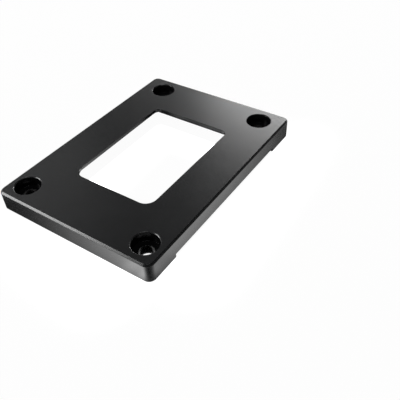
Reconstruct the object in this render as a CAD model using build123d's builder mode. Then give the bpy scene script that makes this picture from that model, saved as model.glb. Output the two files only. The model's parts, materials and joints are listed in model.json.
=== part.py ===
from build123d import *
import os

# A one-piece milled aluminium frame that takes the place of the loading mechanism on a processor
# socket. It stands on two feet on the board, reaches over the socket body and presses the heat
# spreader's shoulder down evenly with a thin lip all round its window.
# Millimetres. X runs across the short sides, Y along the long sides with the wide screw pair at -Y,
# Z up. The origin is on the board, at the middle of the frame's outline.

# Outline of the plate
frame_width = 51.0
frame_length = 70.2
frame_height = 5.8
corner_radius = 2.0
top_chamfer = 0.5
bottom_edge_break = 0.2

# Window for the processor's heat spreader, a little behind the middle of the frame
window_width = 26.0
window_length = 38.1
window_shift = 0.15
window_front_radius = 3.2
window_back_radius = 2.0

# Thin lip round the window that bears on the heat spreader's shoulder
lip_thickness = 1.0
lip_width = 3.2
lip_recess_radius = 2.5

# Pocket in the underside that clears the socket body and the processor's carrier board
plate_thickness = 2.6
rail_width = 5.0
pocket_radius = 2.5

# Four screws, in two rows whose spacings differ so that the frame fits one way round only
screw_diameter = 3.5
screw_clearance = 0.25
head_diameter = 6.8
head_clearance = 0.2
seat_depth = 2.9
seat_edge_break = 0.2
front_row_spacing = 40.0
back_row_spacing = 36.0
front_row_inset = 5.8
back_row_inset = 6.0

# Feet at the two ends, each reaching a little past its screw seats, and the side rails between them
front_foot_margin = 0.6
back_foot_margin = 1.0
rail_relief = 1.0
pocket_wall = 2.0

# Sizes that follow from those above
screw_hole_radius = screw_diameter / 2 + screw_clearance
seat_radius = head_diameter / 2 + head_clearance
front_row_y = front_row_inset - frame_length / 2
back_row_y = frame_length / 2 - back_row_inset
front_foot_end = front_row_y + seat_radius + front_foot_margin
back_foot_end = back_row_y - seat_radius - back_foot_margin
pocket_front = front_row_y + seat_radius + pocket_wall
pocket_back = back_row_y - seat_radius - pocket_wall
pocket_roof = frame_height - plate_thickness
lip_underside = frame_height - lip_thickness
screw_places = [
    (-front_row_spacing / 2, front_row_y, frame_height),
    (front_row_spacing / 2, front_row_y, frame_height),
    (-back_row_spacing / 2, back_row_y, frame_height),
    (back_row_spacing / 2, back_row_y, frame_height),
]

with BuildPart() as retention_frame:
    # Plate with its rounded outline
    with BuildSketch() as outline:
        RectangleRounded(frame_width, frame_length, corner_radius)
    extrude(amount=frame_height)
    chamfer(faces().sort_by(Axis.Z)[-1].edges(), top_chamfer)

    # Between the feet the underside is cut back, which leaves a step in both long sides
    with BuildSketch() as relief:
        with Locations((0, (front_foot_end + back_foot_end) / 2)):
            Rectangle(frame_width, back_foot_end - front_foot_end)
    extrude(amount=rail_relief, mode=Mode.SUBTRACT)

    # The feet's outer edges and the rails' outer edges are broken
    foot_edges = edges().filter_by_position(Axis.Z, 0, 0).filter_by(
        lambda edge: edge.center().Y < front_foot_end - 0.01 or edge.center().Y > back_foot_end + 0.01
    )
    rail_edges = edges().filter_by(Axis.Y).filter_by_position(Axis.Z, rail_relief, rail_relief)
    chamfer(foot_edges + rail_edges, bottom_edge_break)

    # Pocket over the socket body
    with BuildSketch() as pocket:
        with Locations((0, (pocket_front + pocket_back) / 2)):
            RectangleRounded(frame_width - 2 * rail_width, pocket_back - pocket_front, pocket_radius)
    extrude(amount=pocket_roof, mode=Mode.SUBTRACT)

    # Deeper recess that thins the plate to the pressure lip
    with BuildSketch() as lip_recess:
        with Locations((0, window_shift)):
            RectangleRounded(window_width + 2 * lip_width, window_length + 2 * lip_width, lip_recess_radius)
    extrude(amount=lip_underside, mode=Mode.SUBTRACT)

    # Window, with larger radii in its two front corners
    with BuildSketch() as window:
        with Locations((0, window_shift)):
            Rectangle(window_width, window_length)
        fillet(window.vertices().group_by(Axis.Y)[0], window_front_radius)
        fillet(window.vertices().group_by(Axis.Y)[-1], window_back_radius)
    extrude(amount=frame_height, mode=Mode.SUBTRACT)

    # Counterbored screw holes, with their upper rims broken
    with Locations(*screw_places):
        CounterBoreHole(screw_hole_radius, seat_radius, seat_depth)
    seat_rims = edges().filter_by_position(Axis.Z, frame_height, frame_height).filter_by(
        lambda edge: edge.is_closed
    )
    chamfer(seat_rims, seat_edge_break)

retention_frame.part.label = "retention_frame"

os.makedirs("parts", exist_ok=True)
export_step(retention_frame.part, "parts/retention_frame.step")
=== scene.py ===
# %% [markdown]
# # A processor socket retention frame, dressed for the studio
#
# The real object is one flat plate, milled from aluminium and anodised black. It is screwed over a
# processor socket with four screws and presses the processor down with the thin lip round its window.
# The solid model gives the shape. Blender adds what a solid model leaves out: edges that are not razor
# sharp, the skin of the metal, and the light that shows both.

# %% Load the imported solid
import json
import math
import bmesh
import bpy
import numpy as np
from mathutils import Matrix, Quaternion, Vector


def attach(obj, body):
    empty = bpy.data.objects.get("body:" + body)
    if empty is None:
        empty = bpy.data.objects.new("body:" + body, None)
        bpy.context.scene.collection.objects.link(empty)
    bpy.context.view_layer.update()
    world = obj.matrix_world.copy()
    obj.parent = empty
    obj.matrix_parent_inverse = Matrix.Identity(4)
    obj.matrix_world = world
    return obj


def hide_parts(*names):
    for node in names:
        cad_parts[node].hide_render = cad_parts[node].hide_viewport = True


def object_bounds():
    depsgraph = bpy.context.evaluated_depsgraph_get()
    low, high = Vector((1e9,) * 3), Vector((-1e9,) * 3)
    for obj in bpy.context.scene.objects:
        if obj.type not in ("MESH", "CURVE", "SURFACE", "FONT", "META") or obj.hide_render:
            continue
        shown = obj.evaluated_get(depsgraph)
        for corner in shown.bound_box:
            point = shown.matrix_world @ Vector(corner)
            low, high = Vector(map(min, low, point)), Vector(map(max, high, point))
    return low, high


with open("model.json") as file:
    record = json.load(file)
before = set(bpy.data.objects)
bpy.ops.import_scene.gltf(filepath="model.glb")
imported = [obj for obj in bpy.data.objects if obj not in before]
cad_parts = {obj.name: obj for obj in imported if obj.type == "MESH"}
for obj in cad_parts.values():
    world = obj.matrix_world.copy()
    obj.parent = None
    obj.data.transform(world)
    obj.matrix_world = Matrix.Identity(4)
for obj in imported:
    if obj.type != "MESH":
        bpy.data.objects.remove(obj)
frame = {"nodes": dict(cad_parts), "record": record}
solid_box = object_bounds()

MM = 0.001
solid_mm = (np.array(solid_box) / MM).round(2)
print("solid:", sorted(frame["nodes"]), "box in mm:", solid_mm.tolist())

# %% [markdown]
# ## The plate's own sizes
#
# Several finishes follow the plate's outlines: the outer edge, the window's rim, the four screw seats.
# All their sizes could be written again, but a copy goes stale when the solid changes. So the plate and the
# window are measured on the solid, and the screws' places come from its record. Only the radii and walls
# that neither of them states are written here. All sizes are in millimetres.

# %% Plate, screw seats and pocket
RAIL_WIDTH = 5.0
POCKET_WALL = 2.0
EDGE_BREAK = 0.2
# points that lie closer than this count as being in the same place
NEAR = 0.01
mounts = {mount["name"]: mount for mount in frame["record"]["mounts"]}


def screw_place(name):
    """Where the right screw of a pair stands, (x, y)."""
    mount = mounts[name]
    return mount["dims"]["spacing_x_mm"] / 2, round(mount["pos_m"][1] / MM, 2)


width, length, height = (solid_mm[1] - solid_mm[0]).tolist()
PLATE = {"width": width, "length": length, "height": height, "corner": 2.0}
SEATS = {"front": screw_place("screws_front"), "back": screw_place("screws_back"), "radius": 3.6}
HOLE_RADIUS = mounts["screws_front"]["dims"]["hole_r_mm"]
POCKET = {
    "width": PLATE["width"] - 2 * RAIL_WIDTH,
    "front": SEATS["front"][1] + SEATS["radius"] + POCKET_WALL,
    "back": SEATS["back"][1] - SEATS["radius"] - POCKET_WALL,
    "top": round(mounts["lip_underside"]["pos_m"][2] / MM, 2),
}
print("plate", PLATE, "seats", SEATS, "pocket", POCKET)

# %% The window
def over_pocket(x, y):
    """Whether points lie within the pocket's outline, seen from above."""
    across = np.abs(x) < POCKET["width"] / 2 + NEAR
    return across & (y > POCKET["front"] - NEAR) & (y < POCKET["back"] + NEAR)


def measured_window(solid, front_corner, back_corner):
    """The window's rim is what lies in the solid's top face over the pocket. Its box gives width, length and
    the place of its middle along y. The radii of its front and back corners are kept with them."""
    points = np.empty(3 * len(solid.data.vertices))
    solid.data.vertices.foreach_get("co", points)
    x, y, z = points.reshape(-1, 3).T / MM
    rim = (z > PLATE["height"] - NEAR) & over_pocket(x, y)
    front, back = y[rim].min(), y[rim].max()
    sizes = {
        "width": x[rim].max() - x[rim].min(),
        "length": back - front,
        "centre": (front + back) / 2,
        "front_corner": front_corner,
        "back_corner": back_corner,
    }
    return {name: round(float(size), 2) for name, size in sizes.items()}


WINDOW = measured_window(frame["nodes"]["retention_frame"], front_corner=3.2, back_corner=2.0)
print("window", WINDOW)

# %% [markdown]
# ## The plate itself
#
# A milled part is never sharp: the blasting before the anodising rounds every edge by a few hundredths
# of a millimetre, and those narrow rounds are what catches the light. The shape could be modelled again,
# but the solid already is the exact shape, so its mesh is copied. The copy's loose triangles are merged
# into closed skin, flat areas become single faces again, and a Bevel modifier rounds what is still sharp.

# %% Copy the solid's skin and merge it
def merged_skin(source, name, same_point, same_plane):
    """The source's mesh as a new object: corners closer than same_point millimetres become one, and faces
    that meet at less than same_plane degrees become one face."""
    skin = bpy.data.objects.new(name, source.data.copy())
    skin.data.name = name
    bpy.context.scene.collection.objects.link(skin)
    work = bmesh.new()
    work.from_mesh(skin.data)
    bmesh.ops.remove_doubles(work, verts=work.verts, dist=same_point * MM)
    flat_below = math.radians(same_plane)
    bmesh.ops.dissolve_limit(work, angle_limit=flat_below, verts=work.verts, edges=work.edges)
    work.to_mesh(skin.data)
    open_edges = sum(1 for edge in work.edges if not edge.is_manifold)
    work.free()
    print(name, "faces", len(skin.data.polygons), "open edges", open_edges)
    return skin


plate = merged_skin(frame["nodes"]["retention_frame"], "milled_plate", same_point=0.0001, same_plane=0.6)

# %% Round the sharp edges
def round_edges(piece, width, steps, sharp_from):
    """Every edge where two faces meet at more than sharp_from degrees gets a round of the given width in
    millimetres. Shading normals are then weighed by face area, so the big flat faces stay flat."""
    piece.data.polygons.foreach_set("use_smooth", np.ones(len(piece.data.polygons), dtype=bool))
    soft = piece.modifiers.new("edge round", "BEVEL")
    soft.width = width * MM
    soft.segments = steps
    soft.limit_method = "ANGLE"
    soft.angle_limit = math.radians(sharp_from)
    soft.use_clamp_overlap = True
    flat = piece.modifiers.new("flat faces stay flat", "WEIGHTED_NORMAL")
    flat.mode = "FACE_AREA"
    flat.weight = 100
    flat.keep_sharp = False
    print(piece.name, "edge round", width, "mm where faces meet at more than", sharp_from, "degrees")


round_edges(plate, width=0.035, steps=2, sharp_from=28)

# %% [markdown]
# ## Building materials from nodes
#
# A material is a small wiring diagram. A few helpers keep it readable. Some add one node each and feed its
# sockets, and two start and place a group, which is a diagram with named inputs and outputs that several
# materials share.

# %% Helpers that add one node
def feed(tree, socket, value):
    """Wires another node's output into a socket, or sets the socket to a plain value."""
    if isinstance(value, bpy.types.NodeSocket):
        tree.links.new(value, socket)
    else:
        socket.default_value = value


def add(tree, kind, feeds=None, out=0, **settings):
    """Adds a node and gives one of its outputs. feeds maps its sockets to outputs or to plain values."""
    made = tree.nodes.new(kind)
    for key, value in settings.items():
        setattr(made, key, value)
    for socket, value in (feeds or {}).items():
        feed(tree, made.inputs[socket], value)
    return made.outputs[out]


def calc(tree, operation, *values, clamp=False):
    """One step of arithmetic on numbers."""
    return add(tree, "ShaderNodeMath", dict(enumerate(values)), operation=operation, use_clamp=clamp)


def calc_xyz(tree, operation, *values, out=0):
    """One step of arithmetic on positions."""
    return add(tree, "ShaderNodeVectorMath", dict(enumerate(values)), out=out, operation=operation)


def split(tree, position):
    """The x, y and z of a position as three outputs with the names X, Y and Z."""
    return add(tree, "ShaderNodeSeparateXYZ", {0: position}).node.outputs


def noise(tree, position, scale, detail, roughness=0.5):
    """Cloudy noise from about 0 to 1. scale is how many lumps fit into a metre."""
    feeds = {"Vector": position, "Scale": scale, "Detail": detail, "Roughness": roughness}
    return add(tree, "ShaderNodeTexNoise", feeds)


# %% Helpers for shared groups
def new_group(name, inputs, outputs):
    """A shared group. inputs and outputs are name: (kind, start value). Gives the tree and its two ends."""
    tree = bpy.data.node_groups.new(name, "ShaderNodeTree")
    for way, sockets in (("INPUT", inputs), ("OUTPUT", outputs)):
        for label, (kind, value) in sockets.items():
            made = tree.interface.new_socket(name=label, in_out=way, socket_type="NodeSocket" + kind)
            if value is not None:
                made.default_value = value
    print("group", name, "in:", list(inputs), "out:", list(outputs))
    return tree, tree.nodes.new("NodeGroupInput").outputs, tree.nodes.new("NodeGroupOutput").inputs


def place(tree, group, feeds):
    """Places a shared group in a material and gives its outputs."""
    made = tree.nodes.new("ShaderNodeGroup")
    made.node_tree = group
    for socket, value in feeds.items():
        feed(tree, made.inputs[socket], value)
    return made.outputs


# %% [markdown]
# ## Blasted grain
#
# Before anodising, the plate is blasted with fine beads. That leaves tiny dents about a tenth of a
# millimetre wide, which turn a mirror into satin. A photograph could be wrapped round the part, but two
# layers of noise give the same dents at any size and from any side. The group gives a height for the
# dents, and slow changes of tone and of gloss, because no dye bath is perfectly even.

# %% The grain group
def make_grain(coarse_scale=0.27, coarse_share=0.33, gloss_scale=1.7, far_off=(0.31, 0.17, 0.23)):
    """Height: fine noise with one lump per Dent millimetres, plus noise of coarse_scale times that scale at
    coarse_share of its weight. Tone and Gloss: slow noise with one lump per Cloud millimetres. Gloss is
    gloss_scale times finer and is read far_off metres away, so that it doesn't follow Tone."""
    tree, start, end = new_group(
        "blasted grain",
        {"Vector": ("Vector", None), "Dent": ("Float", 0.11), "Cloud": ("Float", 9.0)},
        {"Height": ("Float", None), "Tone": ("Float", None), "Gloss": ("Float", None)},
    )
    here = start["Vector"]
    elsewhere = calc_xyz(tree, "ADD", here, far_off)
    per_dent = calc(tree, "DIVIDE", 1.0 / MM, start["Dent"])
    per_cloud = calc(tree, "DIVIDE", 1.0 / MM, start["Cloud"])
    fine = noise(tree, here, per_dent, detail=2.0, roughness=0.6)
    coarse = noise(tree, here, calc(tree, "MULTIPLY", per_dent, coarse_scale), detail=1.0)
    tone = noise(tree, here, per_cloud, detail=3.0, roughness=0.55)
    gloss = noise(tree, elsewhere, calc(tree, "MULTIPLY", per_cloud, gloss_scale), detail=4.0, roughness=0.6)
    feed(tree, end["Height"], calc(tree, "MULTIPLY_ADD", coarse, coarse_share, fine))
    feed(tree, end["Tone"], tone)
    feed(tree, end["Gloss"], gloss)
    return tree


grain = make_grain()

# %% [markdown]
# ## How far is the nearest edge
#
# Wear and rolled rims follow an outline, so a material has to know how far a point is from it. For a
# rectangle with round corners there is a short formula: fold the point into one quarter, subtract the
# inner corner, and measure what is left. It is exact at any zoom, which painted masks are not.

# %% The outline group
def flat_mm(tree, position):
    """A position in millimetres, with its height taken away."""
    return calc_xyz(tree, "MULTIPLY", position, (1 / MM, 1 / MM, 0.0))


def make_outline():
    """Distance from a rounded rectangle round the origin, in millimetres, below zero inside it:
    with q = |point| - half size + radius, it is length(max(q, 0)) + min(max(q.x, q.y), 0) - radius."""
    tree, start, end = new_group(
        "distance to outline",
        {"Vector": ("Vector", None), "Half Size": ("Vector", (1.0, 1.0, 0.0)), "Radius": ("Float", 1.0)},
        {"Distance": ("Float", None)},
    )
    radius = start["Radius"]
    both_radii = add(tree, "ShaderNodeCombineXYZ", {"X": radius, "Y": radius})
    inner = calc_xyz(tree, "SUBTRACT", start["Half Size"], both_radii)
    folded = calc_xyz(tree, "ABSOLUTE", flat_mm(tree, start["Vector"]))
    q = calc_xyz(tree, "SUBTRACT", folded, inner)
    corner = calc_xyz(tree, "LENGTH", calc_xyz(tree, "MAXIMUM", q, (0.0, 0.0, 0.0)), out="Value")
    apart = split(tree, q)
    side = calc(tree, "MINIMUM", calc(tree, "MAXIMUM", apart["X"], apart["Y"]), 0.0)
    feed(tree, end["Distance"], calc(tree, "SUBTRACT", calc(tree, "ADD", corner, side), radius))
    return tree


outline = make_outline()

# %% Place the outline group
def from_outline(tree, here, shape, corner):
    """The distance from the outline of the plate or the window, whose width and length shape holds."""
    half_size = (shape["width"] / 2, shape["length"] / 2, 0.0)
    return place(tree, outline, {"Vector": here, "Half Size": half_size, "Radius": corner})["Distance"]


# %% [markdown]
# ## How far is the nearest screw seat
#
# The four counterbored seats stand in a slight trapezoid: the front pair is further apart. The plate is
# the same left and right, so folding x to its positive side leaves two centres, and y picks the pair.

# %% The seat group
def wave(tree, way, pitch):
    """A wave from 0 to 1 that repeats every pitch: (sin(2 pi way / pitch) + 1) / 2."""
    turns = calc(tree, "MULTIPLY", calc(tree, "DIVIDE", way, pitch), 2 * math.pi)
    return calc(tree, "MULTIPLY_ADD", calc(tree, "SINE", turns), 0.5, 0.5)


def make_seat():
    """Radius: distance from the nearest seat's axis in millimetres. Rings: a wave that repeats every
    Pitch millimetres outwards from that axis, from 0 to 1."""
    tree, start, end = new_group(
        "distance to screw seat",
        {"Vector": ("Vector", None), "Pitch": ("Float", 0.1)},
        {"Radius": ("Float", None), "Rings": ("Float", None)},
    )
    apart = split(tree, flat_mm(tree, start["Vector"]))
    back = calc(tree, "GREATER_THAN", apart["Y"], 0.0)
    (front_x, front_y), (back_x, back_y) = SEATS["front"], SEATS["back"]
    seat_x = calc(tree, "MULTIPLY_ADD", back, back_x - front_x, front_x)
    seat_y = calc(tree, "MULTIPLY_ADD", back, back_y - front_y, front_y)
    away_x = calc(tree, "SUBTRACT", calc(tree, "ABSOLUTE", apart["X"]), seat_x)
    away_y = calc(tree, "SUBTRACT", apart["Y"], seat_y)
    away = add(tree, "ShaderNodeCombineXYZ", {"X": away_x, "Y": away_y})
    radius = calc_xyz(tree, "LENGTH", away, out="Value")
    feed(tree, end["Radius"], radius)
    feed(tree, end["Rings"], wave(tree, radius, start["Pitch"]))
    return tree


seat = make_seat()

# %% [markdown]
# ## Worn rims
#
# Handling and assembly polish the outermost edges first. The wear could be painted on a mask, but a
# distance follows the rims exactly. The group turns it into a thin band that fades away from the rim and
# is broken up by noise, so the wear looks rubbed on and not drawn.

# %% The rim wear group
def bell(tree, way, steep):
    """A bell curve, 1 in the middle and fading to 0: exp(-steep times way squared)."""
    return calc(tree, "EXPONENT", calc(tree, "MULTIPLY", calc(tree, "MULTIPLY", way, way), -steep))


def make_rim_wear(bare_below=0.35, full_above=0.7):
    """Mask: a bell curve of Distance over Width, times noise with one lump per Patches millimetres. Noise of
    bare_below or less leaves no wear, and of full_above or more all of it."""
    tree, start, end = new_group(
        "rim wear",
        {"Vector": ("Vector", None), "Distance": ("Float", 0.0), "Width": ("Float", 0.2),
         "Patches": ("Float", 4.0)},
        {"Mask": ("Float", None)},
    )
    band = bell(tree, calc(tree, "DIVIDE", start["Distance"], start["Width"]), steep=1.0)
    per_patch = calc(tree, "DIVIDE", 1.0 / MM, start["Patches"])
    patchy = noise(tree, start["Vector"], per_patch, detail=5.0, roughness=0.65)
    limits = {"Value": patchy, "From Min": bare_below, "From Max": full_above}
    rubbed = add(tree, "ShaderNodeMapRange", limits)
    feed(tree, end["Mask"], calc(tree, "MULTIPLY", band, rubbed))
    return tree


rim_wear = make_rim_wear()

# %% [markdown]
# ## Cutter marks
#
# Under the plate nobody polishes. The end mill that clears the pocket leaves rows of shallow arcs, one
# for each step of its feed, and blasting only softens them. They could be cut into the mesh, but they are
# a few thousandths of a millimetre deep, so a height for the shading is enough. A wave along y, bent into
# lanes as wide as the cutter, gives those arcs.

# %% The cutter marks group
def make_cutter_marks(wobble_per_mm=0.6, wobble_way=0.25):
    """Height: arcs Feed millimetres apart in lanes Lane millimetres wide. In each lane the arc bulges along
    y by the square of the place across the lane, and slow noise moves it by up to wobble_way millimetres."""
    tree, start, end = new_group(
        "cutter marks",
        {"Vector": ("Vector", None), "Feed": ("Float", 0.35), "Lane": ("Float", 4.0)},
        {"Height": ("Float", None)},
    )
    apart = split(tree, flat_mm(tree, start["Vector"]))
    in_lane = calc(tree, "FRACT", calc(tree, "DIVIDE", apart["X"], start["Lane"]))
    across = calc(tree, "SUBTRACT", in_lane, 0.5)
    bulge = calc(tree, "MULTIPLY", calc(tree, "MULTIPLY", across, across), start["Lane"])
    wobble = noise(tree, start["Vector"], wobble_per_mm / MM, detail=2.0)
    moved = calc(tree, "MULTIPLY", wobble, wobble_way)
    along = calc(tree, "ADD", calc(tree, "ADD", apart["Y"], bulge), moved)
    feed(tree, end["Height"], wave(tree, along, start["Feed"]))
    return tree


cutter_marks = make_cutter_marks()

# %% [markdown]
# ## The black finish
#
# Black anodising is a clear, hard oxide full of black dye. Under the gloss almost no light comes back, so
# the base colour is nearly zero and what is seen is the sheen. One function makes the four finishes of
# the plate, because they differ only in their marks, their gloss and their tone: blasted on the flat top,
# cut smooth along the outline, the chamfers and the window, turned in the screw seats, milled underneath.
# The seats' darker tone is painted shade in those recesses.
#
# How much a clear skin mirrors is set by its index of refraction. Blasting breaks the surface up, so the
# top gets a low index and a wide blur. The cut faces were machined clean and mirror three times as much.

# %% How deep the marks are and how far the wear goes
# in millimetres
RING_PITCH = 0.09
RING_DEPTH = 0.0015
CUTTER_DEPTH = 0.004
WEAR_WIDTH = 0.16
WEAR_PATCHES = 3.0
# how many times brighter than fresh dye faded and rubbed dye are, and how far the rubbed tone covers
FADED = 1.45
RUBBED = 3.0
WEAR_SHARE = 0.35
# in steps of roughness, where 0 is a mirror and 1 is chalk
UNEVEN_GLOSS = 0.06
WEAR_SMOOTHS = 0.05
print("rings", RING_DEPTH, "mm deep, cutter marks", CUTTER_DEPTH, "mm, wear", WEAR_WIDTH, "mm wide")

# %% Where the rims are worn
def nearest_rim(tree, here, to_axis):
    """Distance in millimetres from the nearest of the outer edge, the window's edge and a seat's edge.
    to_axis is the distance from the nearest seat's axis."""
    outer = from_outline(tree, here, PLATE, PLATE["corner"])
    to_middle = {"Vector": here, "Location": (0.0, -WINDOW["centre"] * MM, 0.0)}
    centred = add(tree, "ShaderNodeMapping", to_middle)
    is_back = calc(tree, "GREATER_THAN", split(tree, centred)["Y"], 0.0)
    front_corner, back_corner = WINDOW["front_corner"], WINDOW["back_corner"]
    corner = calc(tree, "MULTIPLY_ADD", is_back, back_corner - front_corner, front_corner)
    inner = from_outline(tree, centred, WINDOW, corner)
    to_seat = calc(tree, "SUBTRACT", to_axis, SEATS["radius"])
    outer, inner, to_seat = (calc(tree, "ABSOLUTE", way) for way in (outer, inner, to_seat))
    return calc(tree, "MINIMUM", calc(tree, "MINIMUM", outer, inner), to_seat)


# %% Make the four finishes
def mix_colour(tree, factor, first, second):
    """Blends two colours."""
    return add(tree, "ShaderNodeMix", {0: factor, 6: first, 7: second}, out=2, data_type="RGBA")


def brighter(tone, times):
    """The tone times brighter, as the four numbers of a colour socket."""
    return tuple(min(1.0, times * value) for value in tone) + (1.0,)


def black_finish(name, marks=None, tone=(0.0130, 0.0133, 0.0138), gloss=0.25, index=1.3, grain_depth=0.0022):
    """Base colour from tone and worn rims, roughness from slow noise and rims, bump from grain and marks.
    index is the index of refraction: a clear skin mirrors ((index - 1) / (index + 1)) squared, head on.
    grain_depth is in millimetres."""
    material = bpy.data.materials.new(name)
    material.use_nodes = True
    tree = material.node_tree
    metal = tree.nodes["Principled BSDF"].inputs
    metal["IOR"].default_value = index
    here = add(tree, "ShaderNodeTexCoord", out="Object")
    skin = place(tree, grain, {"Vector": here})
    turned = place(tree, seat, {"Vector": here, "Pitch": RING_PITCH})
    rim = nearest_rim(tree, here, turned["Radius"])
    wear_feeds = {"Vector": here, "Distance": rim, "Width": WEAR_WIDTH, "Patches": WEAR_PATCHES}
    worn = place(tree, rim_wear, wear_feeds)["Mask"]

    body = mix_colour(tree, skin["Tone"], brighter(tone, 1.0), brighter(tone, FADED))
    colour = mix_colour(tree, calc(tree, "MULTIPLY", worn, WEAR_SHARE), body, brighter(tone, RUBBED))
    feed(tree, metal["Base Color"], colour)

    rough = calc(tree, "MULTIPLY_ADD", skin["Gloss"], UNEVEN_GLOSS, gloss - UNEVEN_GLOSS / 2)
    rough = calc(tree, "SUBTRACT", rough, calc(tree, "MULTIPLY", worn, WEAR_SMOOTHS), clamp=True)
    feed(tree, metal["Roughness"], rough)

    height = calc(tree, "MULTIPLY", skin["Height"], grain_depth)
    if marks == "turned":
        height = calc(tree, "MULTIPLY_ADD", turned["Rings"], RING_DEPTH, height)
    if marks == "milled":
        lanes = place(tree, cutter_marks, {"Vector": here})
        height = calc(tree, "MULTIPLY_ADD", lanes["Height"], CUTTER_DEPTH, height)
    bump = add(tree, "ShaderNodeBump", {"Height": height, "Strength": 1.0, "Distance": MM})
    feed(tree, metal["Normal"], bump)
    print("finish", name, "nodes", len(tree.nodes))
    return material


# The screw seats get a tone about five times darker than the rest of the plate: painted shade in the
# recessed seats.
SEAT_TONE_PAINTED_SHADE = (0.0028, 0.0029, 0.0031)
finishes = [
    black_finish("blasted_black", gloss=0.29, grain_depth=0.0024),
    black_finish("turned_black_painted_shade", marks="turned", tone=SEAT_TONE_PAINTED_SHADE, gloss=0.22, index=1.4, grain_depth=0.0010),
    black_finish("milled_black", marks="milled", gloss=0.30, index=1.5, grain_depth=0.003),
    black_finish("cut_black", index=1.6),
]

# %% [markdown]
# ## Which face gets which finish
#
# A thousand faces could be picked by hand. It is quicker to ask where each one is: faces inside a seat's
# radius are turned, faces that look down or lie in the pocket are milled, the flat top is blasted, and the
# rest is cut.

# %% Paint the faces by place
BLASTED, TURNED, MILLED, CUT = range(4)
SLACK = 0.05
LOOKS_DOWN = -0.5
LOOKS_UP = 0.9


def paint_by_place(piece):
    """Centre and direction of every face as whole arrays. A face is turned where its centre lies within a
    seat's radius, between the broken edges above and below. Else it is milled where it looks down or lies in
    the pocket, blasted on the flat top, and cut everywhere else."""
    mesh = piece.data
    mesh.materials.clear()
    for finish in finishes:
        mesh.materials.append(finish)
    count = len(mesh.polygons)
    centre, facing = np.empty(3 * count), np.empty(3 * count)
    mesh.polygons.foreach_get("center", centre)
    mesh.polygons.foreach_get("normal", facing)
    x, y, z = centre.reshape(-1, 3).T / MM
    up = facing.reshape(-1, 3)[:, 2]
    seat_x, seat_y = np.where(y > 0, np.array([SEATS["back"]]).T, np.array([SEATS["front"]]).T)
    from_axis = np.hypot(np.abs(x) - seat_x, y - seat_y)
    between_breaks = (z > EDGE_BREAK + SLACK) & (z < PLATE["height"] - EDGE_BREAK - SLACK)
    in_seat = (from_axis < SEATS["radius"] + SLACK) & between_breaks
    under = (up < LOOKS_DOWN) | (over_pocket(x, y) & (z < POCKET["top"] + NEAR))
    flat_top = (up > LOOKS_UP) & (z > PLATE["height"] - NEAR)
    finish_of = np.where(in_seat, TURNED, np.where(under, MILLED, np.where(flat_top, BLASTED, CUT)))
    mesh.polygons.foreach_set("material_index", finish_of.astype(np.int32))
    mesh.update()
    print("faces blasted, turned, milled, cut:", np.bincount(finish_of, minlength=4))


paint_by_place(plate)
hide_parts("retention_frame")
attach(plate, "root")

# %% [markdown]
# ## The studio: a round white sweep
#
# A product table has no corner behind it: the paper runs along the table and sweeps up in a curve, so no
# line shows behind the object. Ours is swept all round, because the part is looked at from every side.
# It is a surface of revolution: one profile, carried round a circle. It lies a hair under the feet, so
# that the two surfaces never share a plane.

# %% The sweep's surface
def round_sweep(floor_radius, cove, wall, floor_steps=8, cove_steps=16, around=96):
    """The profile runs out along the floor, up a quarter circle of radius cove, and up the wall, in metres.
    Each of its points (r, z) is carried round the circle in around steps: x = r cos(angle),
    y = r sin(angle). The pole is one point, with a fan of triangles round it."""
    floor = np.linspace(0.0, floor_radius, floor_steps + 1)[1:]
    bend = np.linspace(0.0, math.pi / 2, cove_steps + 1)[1:]
    r = np.concatenate([floor, floor_radius + cove * np.sin(bend), [floor_radius + cove]])
    z = np.concatenate([0.0 * floor, cove * (1 - np.cos(bend)), [cove + wall]])
    angle = np.arange(around) * 2 * math.pi / around
    xyz = [np.outer(r, np.cos(angle)), np.outer(r, np.sin(angle)), np.repeat(z[:, None], around, 1)]
    points = np.vstack([[[0.0, 0.0, 0.0]], np.stack(xyz, axis=-1).reshape(-1, 3)])
    step, side = np.meshgrid(np.arange(len(r) - 1), np.arange(around), indexing="ij")
    first = 1 + step * around + side
    second = 1 + step * around + (side + 1) % around
    quads = np.stack([first, first + around, second + around, second], axis=-1).reshape(-1, 4)
    fan = np.stack([0 * side[0], 1 + side[0], 1 + (side[0] + 1) % around], axis=-1)
    mesh = bpy.data.meshes.new("studio_sweep")
    mesh.from_pydata(points.tolist(), [], fan.tolist() + quads.tolist())
    mesh.polygons.foreach_set("use_smooth", np.ones(len(mesh.polygons), dtype=bool))
    made = bpy.data.objects.new("studio_sweep", mesh)
    bpy.context.scene.collection.objects.link(made)
    print("sweep faces", len(mesh.polygons))
    return made


UNDER_FEET = 0.02
sweep = round_sweep(floor_radius=1.3, cove=0.25, wall=0.15)
sweep.data.transform(Matrix.Translation((0.0, 0.0, -UNDER_FEET * MM)))

# %% [markdown]
# ## White paper, and the bright patches that the edges mirror
#
# The paper has to be white in the picture and still keep the plate's shadow. So most of its brightness is
# its own and the rest comes from the lamps. Metal mirrors the same paper. Close to the plate and under it
# real paper lies in shadow, so for mirrored rays the white fades to black towards the plate. Only a ring
# under the mouth of each screw hole stays white, where light falls through.
#
# The side faces of a satin part look down at the table, so they show the paper and not the lamps. More
# lamps could lift them, but they would flood the flat top as well. A studio lays small cards and lights on
# the table instead. Here they are soft patches of light on the paper: a row along the front edge, a row
# along the right edge, and some inside the window for its walls.

# %% The light of the patches
def one_patch(tree, here, x, y, wide, deep):
    """A soft patch round (x, y): exp(-half the squared distance), counted in wide and deep millimetres."""
    spot = {"Vector": here, "Location": (x * MM, y * MM, 0.0), "Scale": (wide * MM, deep * MM, 1.0)}
    moved = add(tree, "ShaderNodeMapping", spot, vector_type="TEXTURE")
    return bell(tree, calc_xyz(tree, "LENGTH", moved, out="Value"), steep=0.5)


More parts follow.
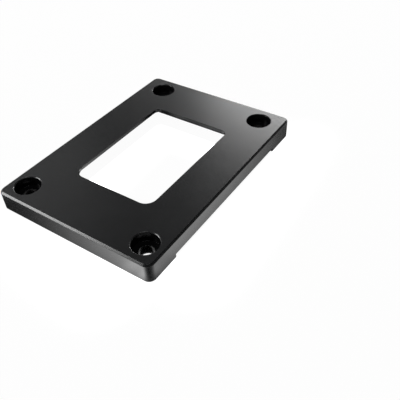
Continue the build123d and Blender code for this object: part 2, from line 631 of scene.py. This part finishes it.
def light_of_patches(tree, here, from_plate, seen, patches):
    """An emission as strong as all patches added up, where the paper lies beside the plate or within the
    window's size, for the rays that seen lets through. from_plate is the distance from the plate's
    outline."""
    strength = 0.0
    for x, y, wide, deep, bright in patches:
        strength = calc(tree, "MULTIPLY_ADD", one_patch(tree, here, x, y, wide, deep), bright, strength)
    outside = calc(tree, "GREATER_THAN", from_plate, 0.0)
    from_window = from_outline(tree, here, WINDOW, WINDOW["back_corner"])
    beside = calc(tree, "MAXIMUM", outside, calc(tree, "LESS_THAN", from_window, 0.0))
    strength = calc(tree, "MULTIPLY", calc(tree, "MULTIPLY", strength, beside), seen)
    return add(tree, "ShaderNodeEmission", {"Strength": strength}, label="patches")


# %% The paper material
PAPER_WHITE = 0.9
HOLE_RING = 0.3


def white_paper(own_light, dark_until, white_from, patches):
    """White diffuse paper mixed with its own light of strength 1 by the share own_light. For mirrored rays
    that share and the white itself are nothing up to dark_until millimetres outside the plate's outline and
    full from white_from on. They are full again in a ring under the mouth of each hole."""
    material = bpy.data.materials.new("white_paper")
    material.use_nodes = True
    tree = material.node_tree
    tree.nodes.clear()
    here = add(tree, "ShaderNodeTexCoord", out="Object")
    path = tree.nodes.new("ShaderNodeLightPath").outputs
    in_camera = path["Is Camera Ray"]
    mirrored = calc(tree, "ADD", path["Is Glossy Ray"], path["Is Transmission Ray"], clamp=True)
    seen = calc(tree, "ADD", in_camera, mirrored, clamp=True)

    from_plate = from_outline(tree, here, PLATE, PLATE["corner"])
    limits = {"Value": from_plate, "From Min": dark_until, "From Max": white_from}
    away = add(tree, "ShaderNodeMapRange", limits, interpolation_type="SMOOTHSTEP")
    to_hole = calc(tree, "SUBTRACT", place(tree, seat, {"Vector": here})["Radius"], HOLE_RADIUS)
    in_ring = calc(tree, "LESS_THAN", calc(tree, "ABSOLUTE", to_hole), HOLE_RING)
    away = calc(tree, "MAXIMUM", away, in_ring)

    share = calc(tree, "ADD", in_camera, calc(tree, "MULTIPLY", mirrored, away), clamp=True)
    shade = calc(tree, "MULTIPLY", mirrored, calc(tree, "SUBTRACT", 1.0, away))
    white = calc(tree, "MULTIPLY_ADD", shade, -PAPER_WHITE, PAPER_WHITE)
    paper = add(tree, "ShaderNodeBsdfDiffuse", {"Color": white})
    own = {"Color": (1.0, 1.0, 1.0, 1.0), "Strength": 1.0}
    glow = add(tree, "ShaderNodeEmission", own, label="own light")
    glowing = calc(tree, "MULTIPLY", share, own_light)
    sheet = add(tree, "ShaderNodeMixShader", {0: glowing, 1: paper, 2: glow})
    lit = light_of_patches(tree, here, from_plate, seen, patches)
    surface = add(tree, "ShaderNodeAddShader", {0: sheet, 1: lit})
    feed(tree, tree.nodes.new("ShaderNodeOutputMaterial").inputs["Surface"], surface)
    print("paper nodes", len(tree.nodes))
    return material


# %% [markdown]
# ## Where the patches lie
#
# Patches in a row beside a straight edge show on that side face as one soft band. In front the band grows
# brighter towards the near corner, at the right it fades towards the back, and inside the window two short
# rows light the walls. The near corner is round and mirrors only a little of the paper, so it gets small
# patches of its own. A rule for each row says more than a list of places, and it moves with the plate.

# %% Rows of light patches
def patch_row(first, last, count, size, bright, bend):
    """count patches at even steps from first to last, both (x, y) in millimetres. With s for the share of
    the way, the brightness is bright[0] + (bright[1] - bright[0]) * s to the power bend."""
    share = np.linspace(0.0, 1.0, count)
    values = bright[0] + (bright[1] - bright[0]) * share ** bend
    places = np.outer(1 - share, first) + np.outer(share, last)
    return [(x, y, *size, value) for (x, y), value in zip(places.tolist(), values.tolist())]


BESIDE_PLATE = 5.0
INSIDE_WINDOW = 3.5
plate_right, plate_front = PLATE["width"] / 2, -PLATE["length"] / 2
front = plate_front - BESIDE_PLATE
right = plate_right + BESIDE_PLATE
left = -WINDOW["width"] / 2 + INSIDE_WINDOW
back = WINDOW["centre"] + WINDOW["length"] / 2 - INSIDE_WINDOW
patches = patch_row((-26, front), (16, front), 7, size=(4.0, 4.5), bright=(0.03, 1.5), bend=2.0)
patches += patch_row((right, -25), (right, 35), 8, size=(4.5, 4.5), bright=(1.3, 0.2), bend=1.3)
patches += patch_row((left, -16), (left, 11), 4, size=(3.0, 5.0), bright=(2.4, 0.55), bend=0.25)
patches += patch_row((-5, back), (9, back), 3, size=(3.5, 2.5), bright=(0.3, 1.35), bend=0.15)
print("patches in rows:", len(patches))

# %% Patches round the near corner
# right of the corner, in front of it, wide, deep, brightness
NEAR_CORNER = [
    (-7.0, 3.4, 2.0, 2.5, 1.7),
    (-3.1, 2.4, 1.4, 2.0, 2.7),
    (2.5, -4.1, 1.5, 2.0, 0.85),
]
patches += [(plate_right + x, plate_front - y, *look) for x, y, *look in NEAR_CORNER]
print("patches of light on the paper:", len(patches))
sweep.data.materials.append(white_paper(own_light=0.965, dark_until=2.0, white_from=24.0, patches=patches))

# %% [markdown]
# ## Lamps
#
# Two soft lamps side by side stand low behind the plate, and the flat top mirrors them as a glow that
# grows towards the far corner. Two more stand at the left in front, where only the chamfer along the front
# edge mirrors them, and they draw that bright line. A wide one overhead gives the even light that shows the
# black itself, and the rest are weak fill. One big window would be simpler, but it would light the top and
# the chamfer alike and lose the line between them.

# %% Soft lamps
AIM_HEIGHT = 3.0


def soft_lamp(name, azimuth, elevation, across, brightness, away=0.7):
    """A round lamp, across metres wide and away metres off, aimed AIM_HEIGHT millimetres over the table's
    middle. Azimuth 0 stands at +y and grows towards -x. Its power is brightness x pi x its area, so
    brightness is how white it looks. Gives the brightness that it adds to a white sheet on the table."""
    lamp = bpy.data.lights.new(name, "AREA")
    lamp.shape = "DISK"
    lamp.size = across
    lamp.energy = brightness * math.pi * math.pi * (across / 2) ** 2
    turn = math.radians(azimuth)
    rise = math.radians(elevation)
    way = Vector((-math.sin(turn) * math.cos(rise), math.cos(turn) * math.cos(rise), math.sin(rise)))
    spot = way * away
    aim = Vector((0.0, 0.0, AIM_HEIGHT * MM))
    stand = bpy.data.objects.new(name, lamp)
    stand.location = spot
    stand.rotation_euler = (spot - aim).to_track_quat("Z", "Y").to_euler()
    bpy.context.scene.collection.objects.link(stand)
    return brightness * math.sin(rise) * (across / 2 / away) ** 2


# name, azimuth, elevation, width, brightness
LAMPS = [
    ("back_right", 15, 26, 0.16, 21.0),
    ("back_left", 25, 26, 0.16, 15.0),
    ("back_low", 40, 16, 0.16, 2.5),
    ("left_back", 58, 36, 0.16, 1.5),
    ("left_high", 75, 45, 0.16, 4.0),
    ("front_low", 121, 18, 0.22, 9.5),
    ("front_high", 135, 29, 0.22, 9.5),
    ("front_end", 147, 29, 0.22, 1.0),
    ("overhead", 221, 81, 0.30, 5.0),
]
sheet_level = sum(soft_lamp(*row) for row in LAMPS)
print("a white sheet on the table would look", round(sheet_level, 2), "white")

# %% [markdown]
# ## The room and the camera
#
# The room beyond the lamps is almost black, so the metal keeps its contrast. The camera stands where the
# photographer's did: its place and its directions were worked out from the plate's edges in the picture.

# %% The dim room
ROOM_LIGHT = 0.01
room = bpy.data.worlds.new("dim_room")
room.use_nodes = True
background = room.node_tree.nodes["Background"].inputs
background["Color"].default_value = (1.0, 1.0, 1.0, 1.0)
background["Strength"].default_value = ROOM_LIGHT
bpy.context.scene.world = room
print("room light", ROOM_LIGHT)

# %% Camera and colour
def stand_camera(place_mm, aim_mm, roll, lens):
    """A camera looks along its own -z with y up. It stands at place_mm, looks at aim_mm on the table and is
    rolled clockwise by roll degrees, as its holder sees it."""
    made = bpy.data.objects.new("camera", bpy.data.cameras.new("camera"))
    made.data.lens = lens
    made.data.sensor_width = 36.0
    made.data.clip_start = 0.001
    upright = (Vector(aim_mm) - Vector(place_mm)).to_track_quat("-Z", "Y")
    rolled = upright @ Quaternion((0.0, 0.0, 1.0), -math.radians(roll))
    made.matrix_world = Matrix.LocRotScale(Vector(place_mm) * MM, rolled, None)
    bpy.context.scene.collection.objects.link(made)
    bpy.context.scene.camera = made
    return made


camera = stand_camera(place_mm=(80.0, -90.63, 95.16), aim_mm=(18.91, -4.85, 0.0), roll=2.77, lens=47.09)
bpy.context.scene.view_settings.view_transform = "Standard"
print("camera", round(camera.location.length / MM, 1), "mm from the table's centre")
